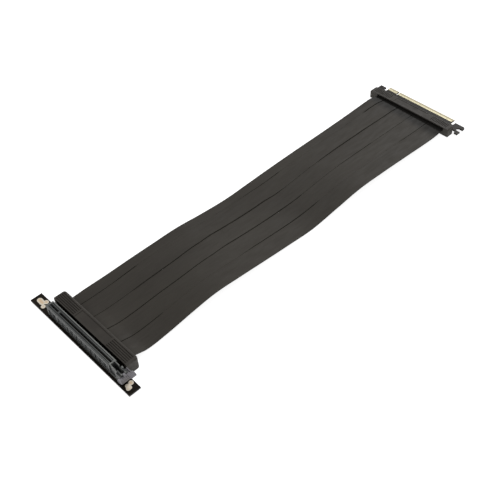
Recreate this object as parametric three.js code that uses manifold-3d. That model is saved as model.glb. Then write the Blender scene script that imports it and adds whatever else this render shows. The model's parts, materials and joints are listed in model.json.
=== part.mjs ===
// A riser cable: a card slot on a board at one end, a card-edge plug at the other, and
// five flat strips of shielded cable between their moulded covers.
// Millimetres, +Z up. The pieces are drawn about the slot's key, with the slot board's top at
// z = 0, and the group at the end moves them onto the resting surface.
import * as THREE from 'three';
import { mergeGeometries, mergeVertices } from 'three/addons/utils/BufferGeometryUtils.js';
import Module from 'manifold-3d';

const wasm = await Module();
wasm.setup();

// Clearances
const FIT_GAP = 0.3; // between a piece and what holds or passes it
const BOARD_LIFT = 1.2; // from the resting surface to the underside of the slot board

// Contact rows, to the x16 card standard
const CONTACT_PITCH = 1.0;
const SHORT_CONTACTS = 11;
const LONG_CONTACTS = 71;
const ROW_MARGIN = 0.65; // what a row of contacts has beyond pitch times count
const KEY_HALF = 0.95; // half the width of the key wall and of the notch for it
const CARD_THICK = 1.6;
const SHORT_END = -(KEY_HALF + SHORT_CONTACTS * CONTACT_PITCH + ROW_MARGIN);
const LONG_END = KEY_HALF + LONG_CONTACTS * CONTACT_PITCH + ROW_MARGIN;

// Slot board, in front of and under the slot, with a tongue into the cover
const LEFT_EAR = 26.3; // from the short row's end to the board's end
const RIGHT_EAR = 12.3; // from the tower's end to the board's end
const BOARD_FRONT = -6.1;
const BOARD_REAR = 5.4;
const BOARD_THICK = 1.6;
const TONGUE_REACH = 3.4; // from the tongue's end to the cover's back

// Slot housing and its latch tower
const HOUSING_HALF = 3.75;
const HOUSING_TALL = 11.25;
const HOUSING_END_WALL = 1.7;
const HOUSING_CHAMFER = 0.4;
const CHANNEL_WIDE = 1.8;
const CHANNEL_FLOOR = 3.0;
const CHANNEL_END_GAP = 0.1;
const LEAD_IN = 0.35;
const STOP_HALF = 0.5;
const WINDOW_TALL = 1.7;
const WINDOW_TOOTH = 0.4;
const COMB_WIDE = 0.45;
const COMB_DEEP = 0.45;
const COMB_LOW = 2.3;
const COMB_HIGH = 8.9;
const CORE_PITCH = 6.5;
const CORE_WIDE = 1.5;
const CORE_DEEP = 1.2;
const CORE_LEAN = 1.4; // how far along x the top of a core is past its foot
const TOP_GROOVE_AT = 2.1;
const TOP_GROOVE_WIDE = 0.4;
const TOP_GROOVE_DEEP = 0.25;
const TOWER_LONG = 15.9; // from the long row's end to the tower's end face
const TOWER_WALL = 1.2;
const NECK_LONG = 6.5;
const NECK_HALF = 2.7;
const NECK_FOOT = 2.6;
const TOWER_START = 2.4; // from the long row's end to the neck
const HOOK_WELL_HALF = 1.7;
const LATCH_WELL_HALF = 1.1;
const CROSS_WELL_HALF = 2.6;
const CROSS_WELL_LONG = 1.6;
const WELL_FLOOR = 2.0;

// Latch
const PIVOT_IN = 2.3; // from the tower's end face to the pivot's axis
const PIVOT_UP = 2.6;
const PIN_RADIUS = 0.8;
const PIN_LONG = 0.8;
const CHEEK_THICK = 0.7;
const CHEEK_RADIUS = 2.0;
const PLATE_THICK = 1.7;
const PLATE_TALL = 9.0;
const NOSE_HALF = 1.0;
const NOSE_LONG = 3.4;
const NOSE_TALL = 0.9;
const NOSE_DROP = 0.35; // from the tower's top to the nose's
const TAB_LONG = 4.4;
const TAB_CORNER = 0.6;
const TAB_THICK = 1.2;
const TAB_START = 1.9;
const TAB_REACH = 3.15; // how far the tab runs out behind the cheek
const WING_LONG = 6.6;
const WING_WIDE = 2.05;
const WING_DROP = 1.0; // from the plate's top to the wing's
const WING_RIM = 0.5;
const GRIP_COUNT = 3;
const GRIP_PITCH = 1.4;
const GRIP_SIZE = 0.5;
const GRIP_IN = 0.6; // from the tab's front edge to the ridges

// Gold pads round the board's mounting holes: how far from the board's end, y, radius of
// copper, radius of hole and how far a slotted one runs along x
const PAD_THICK = 0.1;
const LEFT_LOBES = [
  { inward: 5.9, y: -0.4, pad: 2.5, hole: 1.2, run: 4.4 },
  { inward: 12.0, y: 2.3, pad: 2.3, hole: 1.1, run: 0 },
  { inward: 14.3, y: -2.4, pad: 2.1, hole: 0.6, run: 0 },
];
const RIGHT_LOBES = [
  { inward: 8.7, y: 2.4, pad: 2.3, hole: 1.1, run: 0 },
  { inward: 8.1, y: -1.3, pad: 2.1, hole: 0, run: 2.2 },
  { inward: 5.6, y: -2.6, pad: 1.9, hole: 0.5, run: 0 },
];

// Ribbon: strips side by side, their shares of its width from the short-row side
const STRIP_SHARES = [0.133, 0.2192, 0.2192, 0.2192, 0.2094];
const STRIP_GAP = 0.3;
const STRIP_THICK = 1.3;
const STRIP_EDGE = 0.3;
const RIBBON_IN = 1.45; // from the short row's end to the ribbon's edge
const RIBBON_OUT = 2.75; // from the long row's end to the ribbon's other edge
const RIBBON_STEPS = 36;

// The ribbon's route: how far along its free length as a share, the height of its middle at the
// left edge and at the right edge, and how far the slits stray along x
const FREE_LENGTH = 402.6;
const ROUTE = [
  [0.036, 3.95, -0.1, 0.0],
  [0.093, 3.85, 1.2, 0.1],
  [0.157, 4.35, 4.7, 0.4],
  [0.222, 4.45, 7.1, 0.7],
  [0.294, 4.35, 5.2, -0.6],
  [0.371, 1.35, 2.5, -1.9],
  [0.448, -0.55, 0.0, -1.9],
  [0.52, 0.45, -1.75, -0.9],
  [0.602, 1.75, 1.9, -0.9],
  [0.684, 2.55, 5.6, -1.3],
  [0.773, 2.95, 5.0, -1.8],
  [0.863, 3.75, 3.3, -1.6],
  [0.927, 4.8, 1.9, -1.2],
  [0.97, 5.1, 1.6, -1.0],
];

// Covers
const COVER_CORNER = 2.8;
const COVER_EDGE = 1.9;
const COVER_WALL = 1.5;
const COVER_LID = 1.2;
const COVER_END_WALL = 3.4;
const COVER_FLOOR = 0.9;
const PANEL_LONG = 41.6;
const PANEL_DEEP = 0.35;
const RIB_MARGIN = 2.8;
const RIB_GROOVE = 0.95;
const RIB_DEEP = 0.55;
const RIB_FLARE = 0.25;
const SLOT_COVER_PAST = [6.3, 10.7]; // past the ends of the two rows
const SLOT_COVER_FRONT = 6.6;
const SLOT_COVER_DEPTH = 12.0;
const SLOT_COVER_TOP = 10.0;
const SLOT_EXIT = 3.55; // height of the ribbon's middle where it leaves the slot cover
const SLOT_RIB_PITCH = 1.9;
const SLOT_RIB_COUNT = 5;
const SLOT_RIB_LONG = 25.6;
const SLOT_RIB_START = 1.35;

// Plug end
const PLUG_COVER_PAST = [8.4, 9.4];
const PLUG_COVER_DEPTH = 10.2;
const PLUG_COVER_TOP = 6.6;
const PLUG_EXIT = 2.85; // height of the ribbon's middle where it enters the plug cover
const PLUG_LEVEL = 0.8; // height of the plug board's top face
const PLUG_FLOOR = 1.7;
const PLUG_RIB_PITCH = 1.9;
const PLUG_RIB_COUNT = 11;
const PLUG_RIB_LONG = 6.6;
const CLIP_SIZE = 2.2;
const CLIP_IN = 1.2;
const CLIP_BACK = 1.4;
const CLIP_DEEP = 4.2;

// Card edge: distances back from the tip of the card, and past the ends of the two rows
const CARD_OUT = 25.0; // from the plug cover's front to the tip
const CARD_BACK = 21.7; // from the tip to the board's hidden front edge
const SHOULDER_BACK = 8.2;
const NOTCH_BACK = 7.0;
const BEVEL_LONG = 1.4;
const BEVEL_DEEP = 0.45;
const EAR_LEFT = 10.7;
const EAR_RIGHT = 3.5;
const EAR_TIP_BACK = 3.7;
const EAR_CHAMFER = 1.5;
const HOOK_STEM = 3.6;
const HOOK_TIP = 16.0;
const HOOK_INSIDE = 10.0;
const HOOK_WIDE = 4.7;
const HOOK_GAP = 4.8;
const HOOK_ROOT = 9.7;
const HOOK_NOTCH = 2.4; // width of the gap between the hook and the cover

// Cable ends inside the covers
const WIRE_THICK = 0.5;
const WIRE_LAND = 1.8;
const WIRE_SLOPE = 1.4;
const WIRE_STRAIGHT = 0.6;
const WIRE_BEND = 0.2; // how far the upper side's bends lag the lower side's
const WIRE_INSET = 0.6;
const STRIP_INSIDE = 2.4; // how far a strip runs inside a cover's outer face
const BAR_WIDE = 0.8;
const BAR_THICK = 0.4;

// Colours
const BLACK_BOARD = { color: 0x17150f, roughness: 0.45, metalness: 0.0 };
const COVER_PLASTIC = { color: 0x34312f, roughness: 0.6, metalness: 0.0 };
const SLOT_PLASTIC = { color: 0x4a4c4c, roughness: 0.5, metalness: 0.0 };
const LATCH_PLASTIC = { color: 0x6a656b, roughness: 0.5, metalness: 0.0 };
const GOLD = { color: 0xe6c88a, roughness: 0.3, metalness: 1.0 };
const CABLE_JACKET = { color: 0x3a3834, roughness: 0.75, metalness: 0.0 };
const COPPER = { color: 0xb87345, roughness: 0.35, metalness: 1.0 };

const FLOOR = -(BOARD_THICK + BOARD_LIFT);
const TOWER_END = LONG_END + TOWER_LONG;
const BOARD_LEFT = SHORT_END - LEFT_EAR;
const BOARD_RIGHT = TOWER_END + RIGHT_EAR;
const SLOT_COVER_REAR = SLOT_COVER_FRONT + SLOT_COVER_DEPTH;
const PLUG_FRONT = SLOT_COVER_REAR + FREE_LENGTH;
const PLUG_REAR = PLUG_FRONT + PLUG_COVER_DEPTH;
const CARD_TIP = PLUG_FRONT + CARD_OUT;
const RIBBON_LEFT = SHORT_END + RIBBON_IN;
const RIBBON_RIGHT = LONG_END + RIBBON_OUT;
const RIBBON_WIDE = RIBBON_RIGHT - RIBBON_LEFT;

// Turns a geometry into a solid that can be joined and cut.
function solid(geometry) {
  const bare = geometry.index ? geometry.toNonIndexed() : geometry.clone();
  bare.deleteAttribute('normal');
  bare.deleteAttribute('uv');
  const merged = mergeVertices(bare, 1e-4);
  return new wasm.Manifold(new wasm.Mesh({
    numProp: 3,
    vertProperties: merged.attributes.position.array,
    triVerts: new Uint32Array(merged.index.array),
  }));
}

// One solid of several geometries that don't touch each other.
function solids(geometries) {
  return solid(mergeGeometries(geometries.map((g) => {
    const bare = g.index ? g.toNonIndexed() : g;
    bare.deleteAttribute('normal');
    bare.deleteAttribute('uv');
    return bare;
  })));
}

function geometryOf(manifold) {
  const mesh = manifold.getMesh();
  const geometry = new THREE.BufferGeometry();
  geometry.setAttribute('position', new THREE.BufferAttribute(new Float32Array(mesh.vertProperties), 3));
  geometry.setIndex(new THREE.BufferAttribute(new Uint32Array(mesh.triVerts), 1));
  return geometry;
}

function box(x, y, z) {
  return new THREE.BoxGeometry(x[1] - x[0], y[1] - y[0], z[1] - z[0])
    .translate((x[0] + x[1]) / 2, (y[0] + y[1]) / 2, (z[0] + z[1]) / 2);
}

function outline(points) {
  return new THREE.Shape(points.map(([a, b]) => new THREE.Vector2(a, b)));
}

// Prisms of an outline drawn in plan, in side view (x, z) and in section (y, z).
function planPrism(shape, low, high, options = {}) {
  const depth = high - low;
  return new THREE.ExtrudeGeometry(shape, { depth, bevelEnabled: false, curveSegments: 6, ...options })
    .translate(0, 0, low);
}

function sidePrism(shape, low, high) {
  return new THREE.ExtrudeGeometry(shape, { depth: high - low, bevelEnabled: false, curveSegments: 6 })
    .rotateX(Math.PI / 2)
    .translate(0, high, 0);
}

function sectionPrism(shape, low, high) {
  const turn = new THREE.Matrix4().makeBasis(
    new THREE.Vector3(0, 1, 0),
    new THREE.Vector3(0, 0, 1),
    new THREE.Vector3(1, 0, 0),
  );
  return new THREE.ExtrudeGeometry(shape, { depth: high - low, bevelEnabled: false, curveSegments: 6 })
    .applyMatrix4(turn)
    .translate(low, 0, 0);
}

function roundedRectangle(x, y, radius) {
  const shape = new THREE.Shape();
  shape.moveTo(x[0] + radius, y[0]);
  shape.lineTo(x[1] - radius, y[0]);
  shape.absarc(x[1] - radius, y[0] + radius, radius, -Math.PI / 2, 0);
  shape.lineTo(x[1], y[1] - radius);
  shape.absarc(x[1] - radius, y[1] - radius, radius, 0, Math.PI / 2);
  shape.lineTo(x[0] + radius, y[1]);
  shape.absarc(x[0] + radius, y[1] - radius, radius, Math.PI / 2, Math.PI);
  shape.lineTo(x[0], y[0] + radius);
  shape.absarc(x[0] + radius, y[0] + radius, radius, Math.PI, 1.5 * Math.PI);
  return shape;
}

// A round or slotted outline that runs along x.
function stadium(x, y, radius, run) {
  const shape = new THREE.Shape();
  shape.absarc(x + run, y, radius, -Math.PI / 2, Math.PI / 2);
  shape.absarc(x, y, radius, Math.PI / 2, 1.5 * Math.PI);
  return shape;
}

function makeMesh(name, manifoldOrGeometry, finish) {
  const geometry = manifoldOrGeometry.isBufferGeometry ? manifoldOrGeometry : geometryOf(manifoldOrGeometry);
  const mesh = new THREE.Mesh(geometry, new THREE.MeshStandardMaterial(finish));
  mesh.name = name;
  return mesh;
}

// Slot board with its tongue and the holes in its two ears
function slotBoard() {
  const hollow = coverHollow(SLOT_COVER_PAST);
  const tongue = [hollow[0] + 2 * FIT_GAP, hollow[1] - 2 * FIT_GAP];
  const tongueEnd = SLOT_COVER_REAR - TONGUE_REACH;
  const shape = outline([
    [BOARD_LEFT, BOARD_FRONT],
    [BOARD_RIGHT, BOARD_FRONT],
    [BOARD_RIGHT, BOARD_REAR],
    [tongue[1], BOARD_REAR],
    [tongue[1], tongueEnd],
    [tongue[0], tongueEnd],
    [tongue[0], BOARD_REAR],
    [BOARD_LEFT, BOARD_REAR],
  ]);
  for (const lobe of [...leftLobes(), ...rightLobes()].filter((l) => l.hole > 0)) {
    shape.holes.push(stadium(lobe.x, lobe.y, lobe.hole, lobe.run));
  }
  return makeMesh('slot_board', planPrism(shape, -BOARD_THICK, 0), BLACK_BOARD);
}

function leftLobes() {
  return LEFT_LOBES.map((lobe) => ({ ...lobe, x: BOARD_LEFT + lobe.inward }));
}

function rightLobes() {
  return RIGHT_LOBES.map((lobe) => ({ ...lobe, x: BOARD_RIGHT - lobe.inward }));
}

// Gold ring pads, run together into one cloud of copper round the holes of an ear
function mountPad(name, lobes) {
  let copper = null;
  for (const lobe of lobes) {
    const disc = solid(planPrism(stadium(lobe.x, lobe.y, lobe.pad, lobe.run), 0, PAD_THICK));
    copper = copper ? copper.add(disc) : disc;
  }
  for (const lobe of lobes.filter((l) => l.hole > 0)) {
    copper = copper.subtract(solid(planPrism(stadium(lobe.x, lobe.y, lobe.hole, lobe.run), -1, 1)));
  }
  return makeMesh(name, copper, GOLD);
}

// Slot housing: a long body with a card channel each side of the key, windows at its foot, cored
// sides and, past the long row, the tower that takes the card's hook and carries the latch
function slotHousing() {
  const left = SHORT_END - HOUSING_END_WALL;
  const chamfer = HOUSING_HALF - HOUSING_CHAMFER;
  let body = solid(sectionPrism(outline([
    [-HOUSING_HALF, 0],
    [HOUSING_HALF, 0],
    [HOUSING_HALF, HOUSING_TALL - HOUSING_CHAMFER],
    [chamfer, HOUSING_TALL],
    [-chamfer, HOUSING_TALL],
    [-HOUSING_HALF, HOUSING_TALL - HOUSING_CHAMFER],
  ]), left, TOWER_END));

  const over = HOUSING_TALL + 1;
  const channels = [
    [SHORT_END - CHANNEL_END_GAP, -KEY_HALF],
    [KEY_HALF, LONG_END + CHANNEL_END_GAP],
  ];
  for (const x of channels) {
    body = body.subtract(solid(box(x, [-CHANNEL_WIDE / 2, CHANNEL_WIDE / 2], [CHANNEL_FLOOR, over])));
    body = body.subtract(solid(sectionPrism(outline([
      [-CHANNEL_WIDE / 2, HOUSING_TALL - LEAD_IN],
      [CHANNEL_WIDE / 2, HOUSING_TALL - LEAD_IN],
      [CHANNEL_WIDE / 2 + 2 * LEAD_IN, HOUSING_TALL + LEAD_IN],
      [-CHANNEL_WIDE / 2 - 2 * LEAD_IN, HOUSING_TALL + LEAD_IN],
    ]), x[0], x[1])));
  }

  const windowPitch = 2 * CONTACT_PITCH;
  const windows = [];
  for (const [start, count] of [[SHORT_END, SHORT_CONTACTS], [KEY_HALF, LONG_CONTACTS]]) {
    for (let i = 0; i < Math.floor(count / 2); i += 1) {
      const x = start + ROW_MARGIN / 2 + i * windowPitch;
      for (const side of [-1, 1]) {
        const y = [side * STOP_HALF, side * (HOUSING_HALF + 1)].sort((a, b) => a - b);
        windows.push(box([x + WINDOW_TOOTH / 2, x + windowPitch - WINDOW_TOOTH / 2], y, [-1, WINDOW_TALL]));
      }
    }
  }
  body = body.subtract(solids(windows));

  const comb = [];
  for (const [start, count] of [[SHORT_END, SHORT_CONTACTS], [KEY_HALF, LONG_CONTACTS]]) {
    for (let i = 0; i < count; i += 1) {
      const x = start + ROW_MARGIN / 2 + (i + 0.5) * CONTACT_PITCH;
      for (const side of [-1, 1]) {
        const y = [side * (HOUSING_HALF - COMB_DEEP), side * (HOUSING_HALF + 1)].sort((a, b) => a - b);
        comb.push(box([x - COMB_WIDE / 2, x + COMB_WIDE / 2], y, [COMB_LOW, COMB_HIGH]));
      }
    }
  }
  body = body.subtract(solids(comb));

  const cores = [];
  const coreCount = Math.floor((LONG_END - left) / CORE_PITCH);
  for (let i = 0; i < coreCount; i += 1) {
    const x = left + (i + 0.5) * CORE_PITCH;
    for (const side of [-1, 1]) {
      const y = [side * (HOUSING_HALF - CORE_DEEP), side * (HOUSING_HALF + 1)].sort((a, b) => a - b);
      cores.push(sidePrism(outline([
        [x - CORE_WIDE / 2, COMB_LOW],
        [x + CORE_WIDE / 2, COMB_LOW],
        [x + CORE_WIDE / 2 + CORE_LEAN, COMB_HIGH],
        [x - CORE_WIDE / 2 + CORE_LEAN, COMB_HIGH],
      ]), y[0], y[1]));
    }
  }
  body = body.subtract(solids(cores));

  for (const side of [-1, 1]) {
    const at = side * TOP_GROOVE_AT;
    body = body.subtract(solid(box(
      [left + HOUSING_END_WALL, LONG_END],
      [at - TOP_GROOVE_WIDE / 2, at + TOP_GROOVE_WIDE / 2],
      [HOUSING_TALL - TOP_GROOVE_DEEP, over],
    )));
  }

  const neck = [LONG_END + TOWER_START, LONG_END + TOWER_START + NECK_LONG];
  for (const side of [-1, 1]) {
    const y = [side * NECK_HALF, side * (HOUSING_HALF + 1)].sort((a, b) => a - b);
    body = body.subtract(solid(box(neck, y, [NECK_FOOT, over])));
  }
  const well = [LONG_END + TOWER_WALL + CHANNEL_END_GAP, TOWER_END - TOWER_WALL];
  const cross = [neck[1] - CROSS_WELL_LONG / 2, neck[1] + CROSS_WELL_LONG / 2];
  body = body
    .subtract(solid(box([well[0], cross[1]], [-HOOK_WELL_HALF, HOOK_WELL_HALF], [WELL_FLOOR, over])))
    .subtract(solid(box([cross[0], well[1]], [-LATCH_WELL_HALF, LATCH_WELL_HALF], [WELL_FLOOR, over])))
    .subtract(solid(box([neck[1], cross[1]], [-CROSS_WELL_HALF, CROSS_WELL_HALF], [NECK_FOOT, over])));

  const noseRoom = NOSE_HALF + FIT_GAP;
  const noseFloor = HOUSING_TALL - NOSE_DROP - NOSE_TALL - FIT_GAP;
  body = body.subtract(solid(box([well[1] - 1, TOWER_END + 1], [-noseRoom, noseRoom], [noseFloor, over])));
  for (const side of [-1, 1]) {
    const deep = HOUSING_HALF + FIT_GAP - PIN_LONG - FIT_GAP;
    const y = [side * deep, side * (HOUSING_HALF + 1)].sort((a, b) => a - b);
    body = body.subtract(pivotRod(PIN_RADIUS + FIT_GAP, y));
  }
  return makeMesh('slot_housing', body, SLOT_PLASTIC);
}

function pivotRod(radius, y) {
  return solid(new THREE.CylinderGeometry(radius, radius, y[1] - y[0], 16)
    .translate(TOWER_END - PIVOT_IN, (y[0] + y[1]) / 2, PIVOT_UP));
}

// Latch: two cheeks on pivot pins, an end plate with the nose that holds the card's hook, and a
// press tab that runs out behind
function slotLatch() {
  const pivot = TOWER_END - PIVOT_IN;
  const inner = TOWER_END + FIT_GAP;
  const outer = inner + PLATE_THICK;
  const cheekIn = HOUSING_HALF + FIT_GAP;
  const cheekOut = cheekIn + CHEEK_THICK;
  const cheek = new THREE.Shape();
  cheek.moveTo(outer, PIVOT_UP);
  cheek.lineTo(outer, PLATE_TALL);
  cheek.lineTo(inner - 0.5, PLATE_TALL);
  cheek.absarc(pivot, PIVOT_UP, CHEEK_RADIUS, 0.85 * Math.PI, 1.65 * Math.PI);
  let latch = solid(box([inner, outer], [-cheekOut, cheekOut], [PIVOT_UP, PLATE_TALL]));
  for (const side of [-1, 1]) {
    const y = [side * cheekIn, side * cheekOut].sort((a, b) => a - b);
    latch = latch.add(solid(sidePrism(cheek, y[0], y[1])));
    const pin = [side * (cheekIn - PIN_LONG), side * (cheekIn + CHEEK_THICK / 2)].sort((a, b) => a - b);
    latch = latch.add(pivotRod(PIN_RADIUS, pin));
  }
  const noseTop = HOUSING_TALL - NOSE_DROP;
  const noseLow = noseTop - NOSE_TALL;
  latch = latch
    .add(solid(box([inner, outer], [-NOSE_HALF, NOSE_HALF], [PLATE_TALL - 1, noseTop])))
    .add(solid(sidePrism(outline([
      [outer - NOSE_LONG, noseLow],
      [outer, noseLow],
      [outer, noseTop],
      [outer - NOSE_LONG + NOSE_TALL, noseTop],
    ]), -NOSE_HALF, NOSE_HALF)));

  const tabLow = PLATE_TALL - TAB_THICK;
  const tabBack = cheekIn + TAB_REACH;
  const tab = roundedRectangle([outer - 1, outer + TAB_LONG], [TAB_START, tabBack + WING_RIM], TAB_CORNER);
  const wingBack = cheekIn + WING_WIDE;
  const wingTop = PLATE_TALL - WING_DROP;
  const wing = [outer - WING_LONG, outer];
  latch = latch
    .add(solid(planPrism(tab, tabLow, PLATE_TALL)))
    .add(solid(box(wing, [cheekIn, wingBack], [wingTop - TAB_THICK, wingTop])))
    .add(solid(box(wing, [wingBack - WING_RIM, wingBack], [wingTop - TAB_THICK, PLATE_TALL + WING_RIM / 2])));
  for (let i = 0; i < GRIP_COUNT; i += 1) {
    const x = outer + TAB_LONG - 1 - i * GRIP_PITCH;
    latch = latch.add(solid(box(
      [x - GRIP_SIZE / 2, x + GRIP_SIZE / 2],
      [TAB_START + GRIP_IN, tabBack],
      [PLATE_TALL - GRIP_SIZE, PLATE_TALL + GRIP_SIZE / 2],
    )));
  }
  return makeMesh('slot_latch', latch, LATCH_PLASTIC);
}

function coverSpan(past) {
  return [SHORT_END - past[0], LONG_END + past[1]];
}

function coverHollow(past) {
  const x = coverSpan(past);
  return [x[0] + COVER_END_WALL, x[1] - COVER_END_WALL];
}

// A moulded cover block, rounded at its back, its ends and its top edges, and square at its
// front and its foot
function coverBlock(x, y, z) {
  const e = COVER_EDGE;
  const inset = roundedRectangle([x[0] + e, x[1] - e], [y[0] - e, y[1] - e], COVER_CORNER - e);
  const round = solid(planPrism(inset, z[0] - e, z[1] - e, {
    bevelEnabled: true,
    bevelThickness: e,
    bevelSize: e,
    bevelSegments: 4,
    curveSegments: 4,
  }));
  return round.intersect(solid(box(x, y, z)));
}

// A flared groove along x or y, cut into a face at the height top
function grooveAlongX(x, y, top) {
  return sectionPrism(grooveOutline(y, top), x[0], x[1]);
}

function grooveAlongY(x, y, top) {
  return sidePrism(grooveOutline(x, top), y[0], y[1]);
}

function grooveOutline(at, top) {
  const low = RIB_GROOVE / 2 - RIB_FLARE;
  return outline([
    [at - low, top - RIB_DEEP],
    [at + low, top - RIB_DEEP],
    [at + low + 2 * RIB_FLARE, top + RIB_DEEP],
    [at - low - 2 * RIB_FLARE, top + RIB_DEEP],
  ]);
}

function splitCover(block, x, y, z, parting) {
  const wide = [x[0] - 1, x[1] + 1];
  const deep = [y[0] - 1, y[1] + 1];
  return {
    top: block.intersect(solid(box(wide, deep, [parting, z[1] + 1]))),
    bottom: block.intersect(solid(box(wide, deep, [z[0] - 1, parting]))),
  };
}

// The slot end's cover: two shells over the board's tongue and the ribbon's ends, open in front
function slotCover() {
  const x = coverSpan(SLOT_COVER_PAST);
  const y = [SLOT_COVER_FRONT, SLOT_COVER_REAR];
  const z = [FLOOR, SLOT_COVER_TOP];
  let block = coverBlock(x, y, z);
  block = block.subtract(solid(box(
    coverHollow(SLOT_COVER_PAST),
    [y[0] - 1, y[1] - COVER_WALL],
    [z[0] + COVER_FLOOR, z[1] - COVER_LID],
  )));
  block = block.subtract(solid(ribbonMouth([y[1] - COVER_WALL - 1, y[1] + 1], SLOT_EXIT)));

  const grooves = [];
  for (let i = 0; i < SLOT_RIB_COUNT; i += 1) {
    const at = y[0] + SLOT_RIB_START + i * SLOT_RIB_PITCH;
    grooves.push(grooveAlongX([x[0] + RIB_MARGIN, x[0] + RIB_MARGIN + SLOT_RIB_LONG], at, z[1]));
    grooves.push(grooveAlongX([x[1] - RIB_MARGIN - SLOT_RIB_LONG, x[1] - RIB_MARGIN], at, z[1]));
  }
  block = block.subtract(solids(grooves));
  block = block.subtract(panelRecess(x, [y[0] - 1, y[1] - RIB_MARGIN], z[1]));
  const { top, bottom } = splitCover(block, x, y, z, SLOT_EXIT);
  return [
    makeMesh('slot_cover_top', top, COVER_PLASTIC),
    makeMesh('slot_cover_bottom', bottom, COVER_PLASTIC),
  ];
}

// The plug end's cover: two shells over the plug board, with a notch for a clip at each of its
// rear corners
function plugCover() {
  const x = coverSpan(PLUG_COVER_PAST);
  const y = [PLUG_FRONT, PLUG_REAR];
  const z = [FLOOR, PLUG_COVER_TOP];
  const hollow = coverHollow(PLUG_COVER_PAST);
  let block = coverBlock(x, y, z);
  block = block.subtract(solid(box(
    hollow,
    [y[0] + COVER_WALL, y[1] - COVER_WALL],
    [z[0] + PLUG_FLOOR, z[1] - COVER_LID],
  )));
  block = block.subtract(solid(box(
    hollow,
    [y[1] - COVER_WALL - 1, y[1] + 1],
    [PLUG_LEVEL - CARD_THICK - FIT_GAP, PLUG_LEVEL + FIT_GAP],
  )));
  block = block.subtract(solid(box(
    [RIBBON_LEFT - FIT_GAP, RIBBON_RIGHT + FIT_GAP],
    [y[0] - 1, y[0] + COVER_WALL + 1],
    [PLUG_EXIT - STRIP_THICK / 2 - FIT_GAP, z[1] - COVER_LID],
  )));

  const grooves = [];
  const alongY = [(y[0] + y[1] - PLUG_RIB_LONG) / 2, (y[0] + y[1] + PLUG_RIB_LONG) / 2];
  for (let i = 0; i < PLUG_RIB_COUNT; i += 1) {
    const inward = RIB_MARGIN + CLIP_SIZE + i * PLUG_RIB_PITCH;
    grooves.push(grooveAlongY(x[0] + inward, alongY, z[1]));
    grooves.push(grooveAlongY(x[1] - inward, alongY, z[1]));
  }
  block = block.subtract(solids(grooves));
  block = block.subtract(panelRecess(x, [y[0] + COVER_WALL / 2, y[1] - COVER_EDGE], z[1]));
  for (const corner of [x[0] + CLIP_IN, x[1] - CLIP_IN - CLIP_SIZE]) {
    block = block.subtract(solid(box(
      [corner, corner + CLIP_SIZE],
      [y[1] - CLIP_BACK, y[1] + 1],
      [z[1] - CLIP_DEEP, z[1] + 1],
    )));
  }
  const { top, bottom } = splitCover(block, x, y, z, PLUG_EXIT);
  return [
    makeMesh('plug_cover_top', top, COVER_PLASTIC),
    makeMesh('plug_cover_bottom', bottom, COVER_PLASTIC),
  ];
}

function ribbonMouth(y, level) {
  const half = STRIP_THICK / 2 + FIT_GAP;
  return box([RIBBON_LEFT - FIT_GAP, RIBBON_RIGHT + FIT_GAP], y, [level - half, level + half]);
}

function panelRecess(x, y, top) {
  const middle = (x[0] + x[1]) / 2;
  return solid(box([middle - PANEL_LONG / 2, middle + PANEL_LONG / 2], y, [top - PANEL_DEEP, top + 1]));
}

// Where each strip lies across the ribbon
function stripSpans() {
  const jackets = RIBBON_WIDE - STRIP_GAP * (STRIP_SHARES.length - 1);
  let x = RIBBON_LEFT;
  return STRIP_SHARES.map((share) => {
    const span = [x, x + share * jackets];
    x += share * jackets + STRIP_GAP;
    return span;
  });
}

// The heights of the ribbon's two edges and the stray of its slits, as smooth curves along it
function ribbonCurve() {
  const points = [
    [SLOT_COVER_REAR - STRIP_INSIDE, SLOT_EXIT, SLOT_EXIT, 0],
    [SLOT_COVER_REAR + 1, SLOT_EXIT, SLOT_EXIT, 0],
    ...ROUTE.map(([share, left, right, stray]) => [
      SLOT_COVER_REAR + share * FREE_LENGTH, left, right, stray,
    ]),
    [PLUG_FRONT - 1, PLUG_EXIT, PLUG_EXIT, 0],
    [PLUG_FRONT + STRIP_INSIDE, PLUG_EXIT, PLUG_EXIT, 0],
  ];
  return (y) => {
    let i = points.findIndex((p) => p[0] >= y);
    i = Math.max(1, i < 0 ? points.length - 1 : i);
    const at = (k) => points[Math.min(points.length - 1, Math.max(0, k))];
    const [a, b, c, d] = [at(i - 2), at(i - 1), at(i), at(i + 1)];
    const t = (y - b[0]) / (c[0] - b[0]);
    return [1, 2, 3].map((side) => {
      const rise = (p, q) => (q[0] > p[0] ? (q[side] - p[side]) / (q[0] - p[0]) : 0);
      const m0 = rise(a, c) * (c[0] - b[0]) * (i > 1 ? 1 : 0);
      const m1 = rise(b, d) * (c[0] - b[0]) * (i < points.length - 1 ? 1 : 0);
      const t2 = t * t;
      const t3 = t2 * t;
      return (2 * t3 - 3 * t2 + 1) * b[side] + (t3 - 2 * t2 + t) * m0
        + (3 * t2 - 2 * t3) * c[side] + (t3 - t2) * m1;
    });
  };
}

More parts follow.
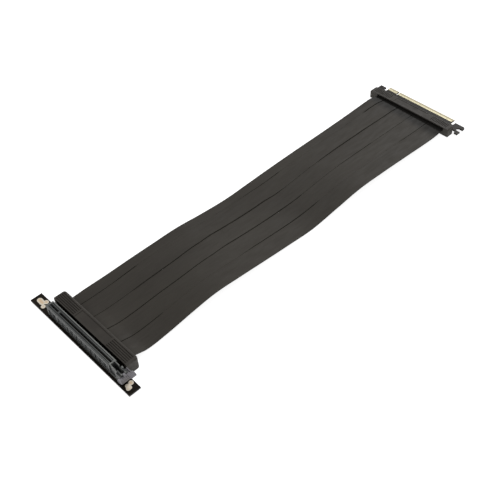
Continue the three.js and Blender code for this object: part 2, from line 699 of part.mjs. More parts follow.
// One flat strip, lofted along the route; the ribbon's outer edges stay straight and the slits
// between strips stray
function ribbonStrip(span, curve) {
  const start = SLOT_COVER_REAR - STRIP_INSIDE;
  const end = PLUG_FRONT + STRIP_INSIDE;
  const flat = [start, SLOT_COVER_REAR, PLUG_FRONT];
  const stations = [flat[0]];
  for (let i = 0; i <= RIBBON_STEPS; i += 1) {
    stations.push(flat[1] + (i / RIBBON_STEPS) * (flat[2] - flat[1]));
  }
  stations.push(end);
  const half = STRIP_THICK / 2;
  const section = [
    [span[0], 0],
    [span[0] + STRIP_EDGE, -half],
    [span[1] - STRIP_EDGE, -half],
    [span[1], 0],
    [span[1] - STRIP_EDGE, half],
    [span[0] + STRIP_EDGE, half],
  ];
  const middle = (span[0] + span[1]) / 2;
  const outer = [span[0] <= RIBBON_LEFT, span[1] >= RIBBON_RIGHT - STRIP_GAP];
  const rings = stations.map((y) => {
    const [left, right, stray] = curve(y);
    return section.map(([nominal, up]) => {
      const x = nominal + (outer[nominal < middle ? 0 : 1] ? 0 : stray);
      const across = (x - RIBBON_LEFT) / RIBBON_WIDE;
      return new THREE.Vector3(x, y, left + (right - left) * across + up);
    });
  });
  return loft(rings);
}

function loft(rings) {
  const count = rings[0].length;
  const positions = rings.flat().flatMap((p) => [p.x, p.y, p.z]);
  const faces = [];
  for (let r = 0; r < rings.length - 1; r += 1) {
    for (let i = 0; i < count; i += 1) {
      const j = (i + 1) % count;
      const [a, b, c, d] = [r * count + i, r * count + j, (r + 1) * count + j, (r + 1) * count + i];
      faces.push(a, c, b, a, d, c);
    }
  }
  const last = (rings.length - 1) * count;
  for (let i = 1; i < count - 1; i += 1) {
    faces.push(0, i, i + 1);
    faces.push(last, last + i + 1, last + i);
  }
  const geometry = new THREE.BufferGeometry();
  geometry.setAttribute('position', new THREE.Float32BufferAttribute(positions, 3));
  geometry.setIndex(faces);
  return geometry;
}

// Plug board: the card edge with its key notch and bevel, an ear beside the short row and the
// hook past the long one
function plugBoard() {
  const hollow = coverHollow(PLUG_COVER_PAST);
  const hidden = [hollow[0] + FIT_GAP, hollow[1] - FIT_GAP];
  const back = CARD_TIP - CARD_BACK;
  const clear = PLUG_REAR + FIT_GAP;
  const shoulder = CARD_TIP - SHOULDER_BACK;
  const earTip = CARD_TIP - EAR_TIP_BACK;
  const gapTop = earTip - HOOK_WIDE;
  const gapLow = gapTop - HOOK_GAP;
  const prongLow = gapLow - HOOK_WIDE;
  const round = HOOK_GAP / 2;
  const tip = LONG_END + HOOK_TIP;
  const root = LONG_END + HOOK_ROOT;
  const ear = [SHORT_END - EAR_LEFT, SHORT_END - EAR_RIGHT];
  const shape = new THREE.Shape();
  shape.moveTo(hidden[0], back);
  shape.lineTo(hidden[1], back);
  shape.lineTo(hidden[1], clear);
  shape.lineTo(root, clear);
  shape.lineTo(root + HOOK_NOTCH / 2, clear - FIT_GAP);
  shape.lineTo(root + HOOK_NOTCH, prongLow);
  shape.lineTo(tip, prongLow);
  shape.lineTo(tip, gapLow);
  shape.absarc(LONG_END + HOOK_INSIDE + round, gapLow + round, round, -Math.PI / 2, Math.PI / 2, true);
  shape.lineTo(tip, gapTop);
  shape.lineTo(tip, earTip - EAR_CHAMFER);
  shape.lineTo(tip - EAR_CHAMFER, earTip);
  shape.lineTo(LONG_END + HOOK_STEM, earTip);
  shape.lineTo(LONG_END + HOOK_STEM, shoulder);
  shape.lineTo(LONG_END, shoulder);
  shape.lineTo(LONG_END, CARD_TIP);
  shape.lineTo(KEY_HALF, CARD_TIP);
  shape.lineTo(KEY_HALF, CARD_TIP - NOTCH_BACK + KEY_HALF);
  shape.absarc(0, CARD_TIP - NOTCH_BACK + KEY_HALF, KEY_HALF, 0, Math.PI, true);
  shape.lineTo(-KEY_HALF, CARD_TIP);
  shape.lineTo(SHORT_END, CARD_TIP);
  shape.lineTo(SHORT_END, shoulder);
  shape.lineTo(ear[1] + EAR_CHAMFER, shoulder);
  shape.lineTo(ear[1], shoulder + EAR_CHAMFER);
  shape.lineTo(ear[1], earTip);
  shape.lineTo(ear[0], earTip);
  shape.lineTo(ear[0], clear);
  shape.lineTo(hidden[0], clear);
  let board = solid(planPrism(shape, PLUG_LEVEL - CARD_THICK, PLUG_LEVEL));

  for (const [level, side] of [[PLUG_LEVEL, 1], [PLUG_LEVEL - CARD_THICK, -1]]) {
    board = board.subtract(solid(sectionPrism(outline([
      [CARD_TIP - BEVEL_LONG, level],
      [CARD_TIP + BEVEL_LONG, level - 2 * side * BEVEL_DEEP],
      [CARD_TIP + BEVEL_LONG, level + side],
      [CARD_TIP - BEVEL_LONG, level + side],
    ]), SHORT_END - 1, LONG_END + 1)));
  }
  return makeMesh('plug_board', board, BLACK_BOARD);
}

// A strip's bared conductors, bent down from the strip's end to their land on a board
function wireEnd(span, from, towards, level, land) {
  const w = WIRE_THICK / 2;
  const s = towards;
  const points = [
    [from, level - w],
    [from + s * WIRE_STRAIGHT, level - w],
    [from + s * (WIRE_STRAIGHT + WIRE_SLOPE), land],
    [from + s * (WIRE_STRAIGHT + WIRE_SLOPE + WIRE_LAND), land],
    [from + s * (WIRE_STRAIGHT + WIRE_SLOPE + WIRE_LAND), land + WIRE_THICK],
    [from + s * (WIRE_STRAIGHT + WIRE_SLOPE + WIRE_BEND), land + WIRE_THICK],
    [from + s * (WIRE_STRAIGHT + WIRE_BEND), level + w],
    [from, level + w],
  ];
  return sectionPrism(outline(points), span[0] + WIRE_INSET, span[1] - WIRE_INSET);
}

function groundBar(name, middle, land) {
  const bar = box(
    [RIBBON_LEFT + WIRE_INSET, RIBBON_RIGHT - WIRE_INSET],
    [middle - BAR_WIDE / 2, middle + BAR_WIDE / 2],
    [land + WIRE_THICK, land + WIRE_THICK + BAR_THICK],
  );
  return makeMesh(name, bar, COPPER);
}

const pieces = new THREE.Group();
pieces.add(slotBoard());
pieces.add(mountPad('left_mount_pad', leftLobes()));
pieces.add(mountPad('right_mount_pad', rightLobes()));
pieces.add(slotHousing());
pieces.add(slotLatch());
pieces.add(...slotCover());
pieces.add(...plugCover());
pieces.add(plugBoard());

const curve = ribbonCurve();
const slotWireStart = SLOT_COVER_REAR - STRIP_INSIDE - FIT_GAP;
const plugWireStart = PLUG_FRONT + STRIP_INSIDE + FIT_GAP;
stripSpans().forEach((span, i) => {
  const n = i + 1;
  pieces.add(makeMesh(`ribbon_strip_${n}`, ribbonStrip(span, curve), CABLE_JACKET));
  pieces.add(makeMesh(`slot_wire_end_${n}`, wireEnd(span, slotWireStart, -1, SLOT_EXIT, 0), COPPER));
  pieces.add(makeMesh(`plug_wire_end_${n}`, wireEnd(span, plugWireStart, 1, PLUG_EXIT, PLUG_LEVEL), COPPER));
});
const landMiddle = WIRE_STRAIGHT + WIRE_SLOPE + WIRE_BEND + WIRE_LAND / 2;
pieces.add(groundBar('slot_ground_bar', slotWireStart - landMiddle, 0));
pieces.add(groundBar('plug_ground_bar', plugWireStart + landMiddle, PLUG_LEVEL));

// The part's origin: the middle of the two ends' footprint, on the resting surface
pieces.position.set(
  -(BOARD_LEFT + BOARD_RIGHT) / 2,
  -(BOARD_FRONT + CARD_TIP) / 2,
  -FLOOR,
);
const part = new THREE.Group();
part.add(pieces);

export default part;
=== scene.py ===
"""Looks of the riser cable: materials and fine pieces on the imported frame, in metres."""

import json
import math

import bpy
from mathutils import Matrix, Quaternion, Vector


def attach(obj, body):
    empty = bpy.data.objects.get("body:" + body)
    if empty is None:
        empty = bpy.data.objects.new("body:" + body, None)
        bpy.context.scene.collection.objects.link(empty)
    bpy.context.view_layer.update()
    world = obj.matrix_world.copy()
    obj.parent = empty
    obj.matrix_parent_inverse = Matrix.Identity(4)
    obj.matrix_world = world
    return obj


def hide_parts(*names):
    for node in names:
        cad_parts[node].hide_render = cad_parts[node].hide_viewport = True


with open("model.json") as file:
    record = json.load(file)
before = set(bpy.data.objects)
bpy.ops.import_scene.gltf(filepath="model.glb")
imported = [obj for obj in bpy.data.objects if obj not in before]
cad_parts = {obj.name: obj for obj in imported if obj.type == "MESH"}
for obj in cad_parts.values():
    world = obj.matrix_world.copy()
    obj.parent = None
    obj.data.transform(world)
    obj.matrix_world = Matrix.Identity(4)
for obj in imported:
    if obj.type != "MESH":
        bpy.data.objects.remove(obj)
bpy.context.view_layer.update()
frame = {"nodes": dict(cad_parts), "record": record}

MM = 0.001
# The pieces are drawn about the slot's key; this is that point's place in the frame
KEY = Vector((-0.03095, -0.22005, 0.0028))


def at(x, y, z):
    """A point in millimetres about the key, in the frame's metres."""
    return KEY + Vector((x, y, z)) * MM


def new_object(name, data):
    """An object of this data, linked into the scene."""
    obj = bpy.data.objects.new(name, data)
    bpy.context.scene.collection.objects.link(obj)
    return obj


# Camera: a 62 mm view from above the slot's latch end

camera = new_object("camera", bpy.data.cameras.new("camera"))
camera.data.sensor_width = 36.0
camera.data.lens = 61.574
camera.data.clip_start = 0.01
camera.location = (0.417882, -0.396501, 0.544464)
camera.rotation_mode = "QUATERNION"
camera.rotation_quaternion = Quaternion((0.853588, 0.338167, 0.169714, 0.358089))
bpy.context.scene.camera = camera


# Materials

CONTACT_PITCH = 1.0  # mm, of the contacts and of what is drawn in line with them
CORE_PITCH = 1.55  # mm, of the pairs of wires that show through the jacket
SCRATCH_DEPTH = 0.02  # mm
LONG_WEAVE = (1.0, 0.35, 1.0)

# Where along the frame's y a painted shadow of the plug cover darkens the jacket's colour
PAINTED_SHADOW_START = 0.1845
PAINTED_SHADOW_END = 0.1925


class Nodes:
    """A material's node tree, with short calls for the nodes that the finishes share."""

    def __init__(self, name):
        self.material = bpy.data.materials.new(name)
        self.material.use_nodes = True
        self.tree = self.material.node_tree
        self.shader = self.tree.nodes["Principled BSDF"]
        self.coords = self.add("ShaderNodeTexCoord")

    def add(self, kind, inputs=None, **settings):
        """A node of this kind, with its inputs set or linked."""
        node = self.tree.nodes.new(kind)
        for key, value in settings.items():
            setattr(node, key, value)
        for key, value in (inputs or {}).items():
            self.put(node.inputs[key], value)
        return node

    def put(self, socket, value):
        """Links a socket to a value's own socket, or sets a plain value."""
        if isinstance(value, bpy.types.NodeSocket):
            self.tree.links.new(value, socket)
        else:
            socket.default_value = value

    def noise(self, scale, detail=3.0, rough=0.5, stretch=(1, 1, 1)):
        """Noise over the object's own metres, drawn out along an axis whose stretch is small."""
        place = self.add(
            "ShaderNodeMapping",
            {"Vector": self.coords.outputs["Object"], "Scale": stretch},
        )
        node = self.add(
            "ShaderNodeTexNoise",
            {
                "Vector": place.outputs[0],
                "Scale": scale,
                "Detail": detail,
                "Roughness": rough,
            },
        )
        return node.outputs["Fac"]

    def span(self, value, low, high, to_low=0.0, to_high=1.0):
        """A value's range from low to high, mapped to another range and held at its ends."""
        node = self.add(
            "ShaderNodeMapRange",
            {0: value, 1: low, 2: high, 3: to_low, 4: to_high},
        )
        return node.outputs[0]

    def math(self, kind, a, b=0.0):
        node = self.add("ShaderNodeMath", {0: a, 1: b}, operation=kind)
        return node.outputs[0]

    def mix(self, fac, a, b):
        """Two colours mixed; the mix node's colour sockets are its inputs 6 and 7, output 2."""
        node = self.add("ShaderNodeMix", data_type="RGBA")
        self.put(node.inputs[0], fac)
        self.put(node.inputs[6], a)
        self.put(node.inputs[7], b)
        return node.outputs[2]

    def axis(self, name):
        node = self.add(
            "ShaderNodeSeparateXYZ", {0: self.coords.outputs["Object"]}
        )
        return node.outputs[name]

    def stripes(self, pitch):
        """A wave along x, with one crest in every pitch of so many millimetres."""
        turns = self.math("MULTIPLY", self.axis("X"), 2 * math.pi / (pitch * MM))
        return self.math("SINE", turns)

    def bump(self, height, depth, strength):
        """Relief of this depth, in millimetres, on the shader's normal."""
        node = self.add(
            "ShaderNodeBump",
            {"Height": height, "Distance": depth * MM, "Strength": strength},
        )
        self.put(self.shader.inputs["Normal"], node.outputs[0])

    def set(self, **values):
        """Sets or links the shader's sockets, named with low lines for their spaces."""
        for key, value in values.items():
            self.put(self.shader.inputs[key.replace("_", " ")], value)


def rgb(r, g, b):
    """An sRGB colour of 0 to 255 as a linear one."""
    linear = [
        c / 255 / 12.92 if c <= 10 else ((c / 255 + 0.055) / 1.055) ** 2.4
        for c in (r, g, b)
    ]
    return (*linear, 1.0)


def moulded(name, dark, light, edge, rough, grain, speck, gloss=0.45):
    """Moulded plastic: spark-eroded grain, faint flow marks and a painted highlight on sharp edges.
    """
    n = Nodes(name)
    cloud = n.span(n.noise(90.0, 4.0, 0.6), 0.3, 0.7)
    # Painted highlight: on sharp edges the colour turns towards the edge colour
    geometry = n.add("ShaderNodeNewGeometry")
    painted_edge_highlight = n.span(geometry.outputs["Pointiness"], 0.52, 0.6)
    colour = n.mix(n.math("MULTIPLY", painted_edge_highlight, 0.7), n.mix(cloud, dark, light), edge)
    n.bump(n.noise(speck, 2.0, 0.6), grain, 0.8)
    n.set(
        Base_Color=colour,
        Roughness=n.span(n.noise(260.0, 3.0), 0.3, 0.7, rough - 0.05, rough + 0.07),
        Specular_IOR_Level=gloss,
    )
    return n.material


def jacket_material():
    """Shielded strip jacket: matte tape over side-by-side pairs, with a faint long grain and a
    painted shadow before the plug cover.
    """
    n = Nodes("strip_jacket")
    cloud = n.span(n.noise(26.0, 4.0, 0.6, LONG_WEAVE), 0.3, 0.7)
    grain = n.noise(900.0, 3.0, 0.65, (1.0, 0.03, 1.0))
    # Painted shadow of the plug cover: this mask turns the jacket's colour near-black before the
    # cover
    painted_shadow = n.span(n.axis("Y"), PAINTED_SHADOW_START, PAINTED_SHADOW_END, 0.0, 0.85)
    colour = n.mix(cloud, rgb(57, 53, 48), rgb(66, 62, 56))
    colour = n.mix(n.span(grain, 0.35, 0.7, 0.0, 0.25), colour, rgb(78, 74, 67))
    colour = n.mix(painted_shadow, colour, rgb(22, 20, 18))
    cores = n.math("MULTIPLY", n.stripes(CORE_PITCH), 0.35)
    height = n.math("ADD", cores, n.math("MULTIPLY", grain, 0.8))
    height = n.math("ADD", height, n.math("MULTIPLY", n.noise(3200.0, 2.0), 0.3))
    n.bump(height, 0.03, 0.8)
    n.set(
        Base_Color=colour,
        Roughness=n.span(n.noise(300.0, 3.0, 0.5, (1.0, 0.2, 1.0)), 0.3, 0.7, 0.62, 0.74),
        Specular_IOR_Level=0.25,
        Sheen_Weight=0.03,
        Sheen_Roughness=0.5,
    )
    return n.material


def board_material():
    """Black solder mask over copper traces that show as faint relief."""
    n = Nodes("solder_mask")
    traces = n.span(n.stripes(CONTACT_PITCH), -0.2, 0.2)
    cloud = n.span(n.noise(140.0, 3.0), 0.35, 0.65)
    grain = n.math("MULTIPLY", n.noise(1500.0, 2.0), 0.4)
    n.bump(n.math("ADD", traces, grain), 0.02, 0.5)
    n.set(
        Base_Color=n.mix(cloud, rgb(21, 17, 11), rgb(33, 26, 17)),
        Roughness=0.5,
        Specular_IOR_Level=0.16,
    )
    return n.material


def metal(name, low, high, rough, metallic=1.0):
    """Plated metal with fine grain and cloudy roughness."""
    n = Nodes(name)
    cloud = n.span(n.noise(600.0, 3.0), 0.3, 0.7)
    n.bump(n.noise(2400.0, 3.0, 0.6), SCRATCH_DEPTH, 0.5)
    n.set(
        Base_Color=n.mix(cloud, low, high),
        Metallic=metallic,
        Roughness=n.span(n.noise(900.0, 2.0), 0.3, 0.7, rough - 0.06, rough + 0.08),
    )
    return n.material


def laminate_material():
    """Bare glass laminate on the ground-off edge of the card, with the fingers' run-out lines."""
    n = Nodes("bare_laminate")
    lines = n.span(n.stripes(CONTACT_PITCH), 0.1, 0.7, 0.0, 0.3)
    weave = n.noise(1800.0, 3.0, 0.6, (1.0, 0.3, 1.0))
    colour = n.mix(n.span(weave, 0.3, 0.7), rgb(206, 194, 158), rgb(222, 212, 180))
    n.bump(weave, 0.02, 0.5)
    n.set(
        Base_Color=n.mix(lines, colour, rgb(150, 134, 92)),
        Roughness=0.6,
        Specular_IOR_Level=0.4,
    )
    return n.material


JACKET = jacket_material()
BOARD = board_material()
# The edge colours below are painted highlights on the sharp edges of each plastic
COVER = moulded(
    "cover_plastic",
    rgb(60, 56, 52),
    rgb(69, 65, 60),
    edge=rgb(86, 83, 78),
    rough=0.6,
    grain=0.03,
    speck=2200.0,
    gloss=0.24,
)
HOUSING = moulded(
    "slot_plastic",
    rgb(72, 74, 74),
    rgb(90, 92, 91),
    edge=rgb(160, 162, 158),
    rough=0.45,
    grain=0.02,
    speck=3000.0,
)
LATCH = moulded(
    "latch_plastic",
    rgb(120, 117, 122),
    rgb(138, 135, 140),
    edge=rgb(150, 148, 152),
    rough=0.45,
    grain=0.02,
    speck=3000.0,
)
GOLD = metal("gold_plate", rgb(255, 248, 232), rgb(254, 238, 214), 0.45, 0.05)
FILL = metal("pad_centre", rgb(252, 226, 192), rgb(242, 212, 174), 0.5, 0.1)
FINGER = metal("finger_plate", rgb(238, 230, 194), rgb(228, 218, 176), 0.5, 0.25)
CONTACT = metal("contact_plate", rgb(150, 126, 84), rgb(120, 98, 62), 0.4)
COPPER = metal("bare_copper", rgb(205, 140, 100), rgb(190, 150, 110), 0.35)
TIN = metal("tinned_feet", rgb(150, 150, 148), rgb(120, 120, 118), 0.45)
LAMINATE = laminate_material()

FINISHES = {
    "board": BOARD,
    "gold": GOLD,
    "slot_plastic": HOUSING,
    "latch_plastic": LATCH,
    "cover_plastic": COVER,
    "jacket": JACKET,
    "copper": COPPER,
}
for part in frame["record"]["subparts"]:
    mesh = frame["nodes"][part["node"]].data
    mesh.materials.clear()
    mesh.materials.append(FINISHES[part["material_slot"]])


def piece(name, verts, faces, material, slot, smooth=False):
    """A new piece of the riser's body, in one material."""
    mesh = bpy.data.meshes.new(name)
    mesh.from_pydata(verts, [], faces)
    mesh.validate()
    mesh.materials.append(material)
    if smooth:
        mesh.shade_smooth()
    else:
        mesh.shade_flat()
    obj = new_object(name, mesh)
    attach(obj, "riser")
    return obj


# Ribbon: five flat cords side by side, on the frame's route, in millimetres about the key

STRIP_THICK = 1.3
RIBBON_LEFT = -11.15
RIBBON_RIGHT = 75.35
RIBBON_WIDE = RIBBON_RIGHT - RIBBON_LEFT
SLOT_REAR = 18.6
PLUG_FRONT = 421.2
STRIP_INSIDE = 2.4

STRIP_STEPS = 240  # rings along a strip
CORNER_STEPS = 4
FLAT_STEPS = 8

OUTER_ROUND = 0.3  # roundness of the ribbon's outer edges
SLIT_FOOT = 0.005  # half the gap at a slit's bottom
SLIT_SPREAD = 0.8  # of the slit's gape, drawn in at the top of each side
SLIT_ROUND = (0.05, 0.5)  # least roundness beside a slit, and what is added for its gape

# How far along y, then the height of the ribbon's middle at its left and right edges, in metres
ROUTE = [
    (0.0162, 0.00355, 0.00355),
    (0.0196, 0.00355, 0.00355),
    (0.0331, 0.00395, -0.0001),
    (0.0560, 0.00385, 0.0012),
    (0.0818, 0.00435, 0.0047),
    (0.1080, 0.00445, 0.0071),
    (0.1370, 0.00435, 0.0052),
    (0.1680, 0.00135, 0.0025),
    (0.1990, -0.00055, 0.0),
    (0.2280, 0.00045, -0.00175),
    (0.2610, 0.00175, 0.0019),
    (0.2940, 0.00255, 0.0056),
    (0.3298, 0.00295, 0.005),
    (0.3660, 0.00375, 0.0033),
    (0.3918, 0.0048, 0.0019),
    (0.4091, 0.0051, 0.0016),
    (0.4202, 0.00285, 0.00285),
    (0.4236, 0.00285, 0.00285),
]

# The ribbon's outer edges, drawn in where the covers hold them: along y, across, no gape
EDGES = [
    [
        (16, -11.15, 0), (18.6, -11.15, 0), (21, -11.7, 0),
        (418, -11.7, 0), (421, -11.15, 0), (424, -11.15, 0),
    ],
    [(16, 75.35, 0), (424, 75.35, 0)],
]

# The four slits between strips: how far along y, the slit's place across and how far it gapes
SLITS = [
    [
        (16, 0.3, 0.35), (26, 0.4, 0.3), (33, 0.5, 0.3), (52, 0.3, 0.25), (68, -0.2, 0.45),
        (79, -0.5, 0.45), (84, -0.7, 0.03), (203, -1.7, 0.03), (218, -1.4, 0.2),
        (240, -0.5, 0.25), (256, -0.6, 0.4), (264, -0.7, 0.03), (385, -1.3, 0.03),
        (391, -1.4, 0.5), (424, -0.9, 0.5),
    ],
    [
        (16, 19.3, 0.2), (60, 19.4, 0.2), (66, 19.5, 0.5), (103, 20.0, 0.5), (136, 18.4, 0.5),
        (156, 17.2, 0.65), (218, 17.2, 0.65), (240, 18.8, 0.45), (248, 18.9, 0.15),
        (294, 17.9, 0.15), (300, 17.8, 0.4), (322, 17.2, 0.6), (358, 17.2, 0.6),
        (405, 18.3, 0.45), (424, 18.4, 0.4),
    ],
    [
        (16, 38.0, 0.4), (60, 38.4, 0.4), (100, 39.5, 0.45), (132, 38.4, 0.4), (160, 37.1, 0.5),
        (220, 37.1, 0.5), (248, 38.0, 0.4), (254, 38.0, 0.12), (300, 37.4, 0.12),
        (320, 37.1, 0.3), (350, 37.0, 0.3), (358, 37.0, 0.15), (410, 37.2, 0.15),
        (424, 37.6, 0.3),
    ],
    [
        (16, 56.6, 0.35), (60, 56.9, 0.35), (65, 57.0, 0.03), (150, 56.4, 0.03), (158, 56.0, 0.15),
        (176, 55.6, 0.4), (222, 55.5, 0.45), (248, 55.9, 0.4), (262, 56.0, 0.03),
        (374, 56.0, 0.03), (380, 56.0, 0.25), (412, 56.2, 0.25), (424, 56.4, 0.3),
    ],
]


def edge_heights(y):
    """The heights of the ribbon's two edges, y and they in metres about the key."""
    last = len(ROUTE) - 1
    i = max(1, next((k for k, row in enumerate(ROUTE) if row[0] >= y), last))
    a, b, c, d = (ROUTE[min(last, max(0, k))] for k in (i - 2, i - 1, i, i + 1))
    t = (y - b[0]) / (c[0] - b[0])
    heights = []
    for side in (1, 2):
        slope_in = (c[side] - a[side]) / (c[0] - a[0]) * (c[0] - b[0]) if i > 1 else 0.0
        slope_out = (d[side] - b[side]) / (d[0] - b[0]) * (c[0] - b[0]) if i < last else 0.0
        heights.append(
            (2 * t**3 - 3 * t**2 + 1) * b[side]
            + (t**3 - 2 * t**2 + t) * slope_in
            + (3 * t**2 - 2 * t**3) * c[side]
            + (t**3 - t**2) * slope_out
        )
    return heights


def slit_at(rows, y):
    """A slit's place and gape at y, eased from row to row."""
    for a, b in zip(rows, rows[1:]):
        if y <= b[0]:
            t = max(0.0, (y - a[0]) / (b[0] - a[0]))
            t = t * t * (3 - 2 * t)
            return a[1] + (b[1] - a[1]) * t, a[2] + (b[2] - a[2]) * t
    return rows[-1][1:]


def slit_side(rows, y, away):
    """A strip's edge beside a slit: place below, place above, roundness."""
    place, gape = slit_at(rows, y)
    least, share = SLIT_ROUND
    return place + away * SLIT_FOOT, place + away * SLIT_SPREAD * gape, least + share * gape


def strip_edges(number, y):
    """A strip's two edges across the ribbon: place below, place above, roundness.

    Neighbours nearly touch at the bottom, so a slit is a groove that gapes at the top.
    """
    low, high = ((slit_at(rows, y)[0],) * 2 + (OUTER_ROUND,) for rows in EDGES)
    if number > 0:
        low = slit_side(SLITS[number - 1], y, 1)
    if number < len(SLITS):
        high = slit_side(SLITS[number], y, -1)
    return low, high


def strip_ring(number, y):
    """One closed ring of a strip: a flat band with an edge of its own roundness each side."""
    low, high = strip_edges(number, y)
    half = STRIP_THICK / 2
    section = []
    for side, other, turn in ((high, low, 1), (low, high, -1)):
        r = min(side[2], half)
        for corner in (-1, 1):
            up = corner * turn
            edge = side[1] if up > 0 else side[0]
            for i in range(CORNER_STEPS + 1):
                a = math.pi / 2 * i / CORNER_STEPS
                across, rise = math.cos(a), math.sin(a)
                if corner < 0:
                    across, rise = rise, across
                section.append((edge - turn * (r - r * across), up * (half - r + r * rise)))
        start = section[-1][0]
        end = other[1 if turn > 0 else 0] + turn * min(other[2], half)
        for i in range(1, FLAT_STEPS):
            section.append((start + (end - start) * i / FLAT_STEPS, turn * half))
    left, right = edge_heights(y * MM)
    ring = []
    for x, up in section:
        share = (x - RIBBON_LEFT) / RIBBON_WIDE
        ring.append(at(x, y, (left + (right - left) * share) / MM + up))
    return ring


def ribbon_strip(number):
    """A strip's rings skinned into one closed piece."""
    start, end = SLOT_REAR - STRIP_INSIDE, PLUG_FRONT + STRIP_INSIDE
    rings = [
        strip_ring(number, start + (end - start) * s / STRIP_STEPS)
        for s in range(STRIP_STEPS + 1)
    ]
    verts = [point for ring in rings for point in ring]
    count = len(rings[0])
    faces = []
    for s in range(STRIP_STEPS):
        here, there = s * count, (s + 1) * count
        for i in range(count):
            j = (i + 1) % count
            faces.append((here + i, here + j, there + j, there + i))
    faces.append(tuple(range(count)))
    faces.append(tuple(STRIP_STEPS * count + i for i in reversed(range(count))))
    obj = piece(f"strip_{number + 1}", verts, faces, JACKET, "jacket", smooth=True)
    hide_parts(f"ribbon_strip_{number + 1}")


for k in range(len(SLITS) + 1):
    ribbon_strip(k)


# Contacts: gold springs in the slot, their feet on the board, and the fingers of the card edge

FIRST_CONTACT = 1.5
CONTACTS = [-(FIRST_CONTACT + i) for i in range(11)] + [FIRST_CONTACT + i for i in range(71)]
KEY_HALF = 0.95
ROWS = [(-12.6, -KEY_HALF), (KEY_HALF, 72.6)]

CARD_HALF = 0.8
CARD_TIP = 446.2
FINGER_HALF = 0.43
FINGER_ALONG = (441.0, 443.1)
FINGER_THICK = 0.045
LAMINATE_THICK = 0.04
# The laminate's outer line: how far back from the card's tip, and how far proud of its face
LAMINATE_LINE = [(3.2, 0.03), (1.4, 0.03), (0.0, -0.42)]

SPRING_HALF = 0.3
SPRING_BACK = 0.9
# Each step of a spring: its distance from the channel's middle, then its low and high
SPRING_STEPS = [(0.72, (3.2, 4.2)), (0.5, (4.2, 5.6)), (0.68, (5.6, 6.4))]

FOOT_HALF = 0.2
FOOT_ACROSS = (3.4, 4.35)
FOOT_THICK = 0.14

BLOCK_FACES = (
    (0, 2, 3, 1), (4, 5, 7, 6), (0, 1, 5, 4), (2, 6, 7, 3), (0, 4, 6, 2), (1, 3, 7, 5),
)


def ordered(a, b):
    return tuple(sorted((a, b)))


def blocks(spans):
    """Corners and faces of many blocks; each span is three low and high pairs."""
    verts, faces = [], []
    for sx, sy, sz in spans:
        base = len(verts)
        verts.extend(at(x, y, z) for z in sz for y in sy for x in sx)
        faces.extend(tuple(base + i for i in face) for face in BLOCK_FACES)
    return verts, faces


def fingers(name, level, up):
    """The gold fingers on one face of the card edge."""
    thick = ordered(level, level + up * FINGER_THICK)
    spans = [((cx - FINGER_HALF, cx + FINGER_HALF), FINGER_ALONG, thick) for cx in CONTACTS]
    piece(name, *blocks(spans), FINGER, "gold")


def bevel(name, level, up):
    """The bare laminate on one face of the card edge, from the fingers' ends over the bevel."""
    outer = [(CARD_TIP - back, level + up * proud) for back, proud in LAMINATE_LINE]
    section = outer + [(y, z - up * LAMINATE_THICK) for y, z in reversed(outer)]
    count = len(section)
    verts, faces = [], []
    for low, high in ROWS:
        base = len(verts)
        for y, z in section:
            verts.extend((at(low, y, z), at(high, y, z)))
        for i in range(count):
            a, b = base + 2 * i, base + 2 * ((i + 1) % count)
            faces.append((a, b, b + 1, a + 1) if up > 0 else (a, a + 1, b + 1, b))
        low_end = [base + 2 * i for i in range(count)]
        high_end = [i + 1 for i in reversed(low_end)]
        for end in (low_end, high_end):
            faces.append(tuple(reversed(end)) if up > 0 else tuple(end))
    piece(name, verts, faces, LAMINATE, "board")


for face, side in (("top", 1), ("under", -1)):
    fingers(f"fingers_{face}", side * CARD_HALF, side)
    bevel(f"bevel_{face}", side * CARD_HALF, side)

# Springs that lean into the channel, below its lead-in
springs = [
    ((cx - SPRING_HALF, cx + SPRING_HALF), ordered(side * SPRING_BACK, side * near), height)
    for cx in CONTACTS
    for side in (-1, 1)
    for near, height in SPRING_STEPS
]
piece("contact_springs", *blocks(springs), CONTACT, "gold")

# Solder feet where the contacts meet the board
feet = [
    ((cx - FOOT_HALF, cx + FOOT_HALF), ordered(*(side * y for y in FOOT_ACROSS)), (0.0, FOOT_THICK))
    for cx in CONTACTS
    for side in (-1, 1)
]
piece("solder_feet", *blocks(feet), TIN, "copper")


# Holes of the board's ears: plated walls, and floors a little under the pads' tops

RING_SIDES = 28
# Each hole's middle, radius and run; a hole with a run is a slot along x
HOLES = [
    (-33.0, -0.4, 1.2, 4.4),
    (-26.9, 2.3, 1.1, 0.0),
    (-24.6, -2.4, 0.6, 0.0),
    (92.1, 2.4, 1.1, 0.0),
    (95.2, -2.6, 0.5, 0.0),
]
# The plated wall's section: how far in from the hole's radius, and the height
BARREL_SECTION = [(0.005, -1.6), (0.005, 0.1), (0.06, 0.1), (0.06, -1.6)]
FILL_INSET = 0.05
FILL_HEIGHTS = (0.04, -0.3)


def hole_ring(hole, inset, z):
    """A ring of points inside a hole's wall, its right half moved by the hole's run."""
    cx, cy, r, run = hole
    ring = []
    for i in range(RING_SIDES):
        a = 2 * math.pi * i / RING_SIDES
        shift = run if math.cos(a) > 0 else 0.0
        x = cx + shift + (r - inset) * math.cos(a)
        ring.append(at(x, cy + (r - inset) * math.sin(a), z))
    return ring


def hole_barrels():
    """Plated walls of the holes."""
    verts, faces = [], []
    count = len(BARREL_SECTION)
    for hole in HOLES:
        base = len(verts)
        for inset, z in BARREL_SECTION:
            verts.extend(hole_ring(hole, inset, z))
        for k in range(count):
            a, b = base + k * RING_SIDES, base + (k + 1) % count * RING_SIDES
            for i in range(RING_SIDES):
                j = (i + 1) % RING_SIDES
                faces.append((a + i, a + j, b + j, b + i))
    piece("hole_barrels", verts, faces, GOLD, "gold")


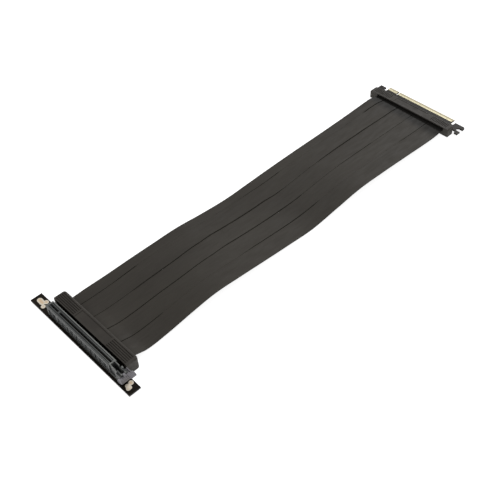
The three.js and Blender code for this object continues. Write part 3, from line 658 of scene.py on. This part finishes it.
def hole_fills():
    """Tan floors in the holes, a little under the pads' tops."""
    verts, faces = [], []
    for hole in HOLES:
        top = len(verts)
        bottom = top + RING_SIDES
        for z in FILL_HEIGHTS:
            verts.extend(hole_ring(hole, FILL_INSET, z))
        faces.append(tuple(range(top, bottom)))
        faces.append(tuple(reversed(range(bottom, bottom + RING_SIDES))))
        for i in range(RING_SIDES):
            j = (i + 1) % RING_SIDES
            faces.append((top + i, bottom + i, bottom + j, top + j))
    piece("hole_fills", verts, faces, FILL, "gold")


hole_barrels()
hole_fills()


# Slot housing: a copy of the frame's, carved and shown in its place

CUT_TOP = 12.0  # above the housing's top
HOUSING_CUTS = [
    # Shoulders beside the tower's narrow rim
    ((83.6, 89.5), (2.3, 5.0), (9.7, CUT_TOP)),
    ((83.6, 89.5), (-5.0, -2.3), (9.7, CUT_TOP)),
    # Wells: near, across and far
    ((73.95, 79.6), (-1.95, 1.95), (2.2, CUT_TOP)),
    ((79.7, 81.9), (-2.1, 2.95), (2.8, CUT_TOP)),
    ((82.0, 87.25), (-1.6, 1.6), (2.3, CUT_TOP)),
    # Neck between the rows and the tower
    ((74.2, 75.1), (2.71, 5.0), (2.65, CUT_TOP)),
    ((74.2, 75.1), (-5.0, -2.71), (2.65, CUT_TOP)),
    # Grooves along the top
    ((-12.6, 72.6), (-2.38, -1.82), (10.55, CUT_TOP)),
    ((-12.6, 72.6), (1.82, 2.38), (10.55, CUT_TOP)),
]


def carved_housing():
    """The slot housing with wider wells, a narrow rim on its tower and deeper grooves on top."""
    node = frame["nodes"]["slot_housing"]
    housing = new_object("housing", node.data.copy())
    housing.matrix_world = node.matrix_world.copy()
    cutters = []
    for number, cut in enumerate(HOUSING_CUTS):
        block = bpy.data.meshes.new(f"cutter_{number}")
        verts, faces = blocks([cut])
        block.from_pydata(verts, [], faces)
        cutter = new_object(f"cutter_{number}", block)
        carve = housing.modifiers.new(f"carve_{number}", "BOOLEAN")
        carve.operation = "DIFFERENCE"
        carve.solver = "EXACT"
        carve.object = cutter
        cutters.append(cutter)
    bpy.context.view_layer.update()
    seen = housing.evaluated_get(bpy.context.evaluated_depsgraph_get())
    carved = bpy.data.meshes.new_from_object(seen)
    housing.modifiers.clear()
    housing.data = carved
    carved.shade_flat()
    for cutter in cutters:
        bpy.data.objects.remove(cutter)
    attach(housing, "riser")
    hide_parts("slot_housing")


carved_housing()


# Floor, light and world

FLOOR_HALF = 6.0
FLOOR_GREY = (0.85, 0.85, 0.85, 1.0)
FLOOR_GLOW = 0.82  # to the camera and in reflections, so the floor is white and keeps its shadow
SKY_LIGHT = 0.35
SKY_SEEN = 1.0
WHITE = (1.0, 1.0, 1.0, 1.0)

floor_mesh = bpy.data.meshes.new("floor")
floor_corners = [
    (x * FLOOR_HALF, y * FLOOR_HALF, 0) for x, y in ((-1, -1), (1, -1), (1, 1), (-1, 1))
]
floor_mesh.from_pydata(floor_corners, [], [(0, 1, 2, 3)])
floor = new_object("floor", floor_mesh)
ground = Nodes("floor_white")
rays = ground.add("ShaderNodeLightPath")
seen = ground.math("MAXIMUM", rays.outputs["Is Camera Ray"], rays.outputs["Is Glossy Ray"])
seen = ground.math("MAXIMUM", seen, rays.outputs["Is Transmission Ray"])
ground.set(
    Base_Color=FLOOR_GREY,
    Roughness=0.9,
    Emission_Color=WHITE,
    Emission_Strength=ground.math("MULTIPLY", seen, FLOOR_GLOW),
)
floor_mesh.materials.append(ground.material)


def area_light(name, place, wide, power):
    """A round soft light of this width and power, aimed at the middle of the part."""
    light = bpy.data.lights.new(name, "AREA")
    light.shape = "DISK"
    light.size = wide
    light.energy = power
    obj = new_object(name, light)
    obj.location = place
    obj.rotation_mode = "QUATERNION"
    obj.rotation_quaternion = (-Vector(place)).to_track_quat("-Z", "Y")


area_light("key_light", (-1.1, 3.2, 2.5), 0.8, 82.0)
area_light("fill_light", (1.0, -1.1, 1.0), 1.0, 3.0)

world = bpy.data.worlds.new("studio")
world.use_nodes = True
sky = world.node_tree
backdrop = sky.nodes["Background"]
backdrop.inputs["Color"].default_value = WHITE
sky_rays = sky.nodes.new("ShaderNodeLightPath")
strength = sky.nodes.new("ShaderNodeMapRange")
strength.inputs["To Min"].default_value = SKY_LIGHT
strength.inputs["To Max"].default_value = SKY_SEEN
sky.links.new(sky_rays.outputs["Is Camera Ray"], strength.inputs["Value"])
sky.links.new(strength.outputs[0], backdrop.inputs["Strength"])
bpy.context.scene.world = world
bpy.context.scene.view_settings.view_transform = "Standard"
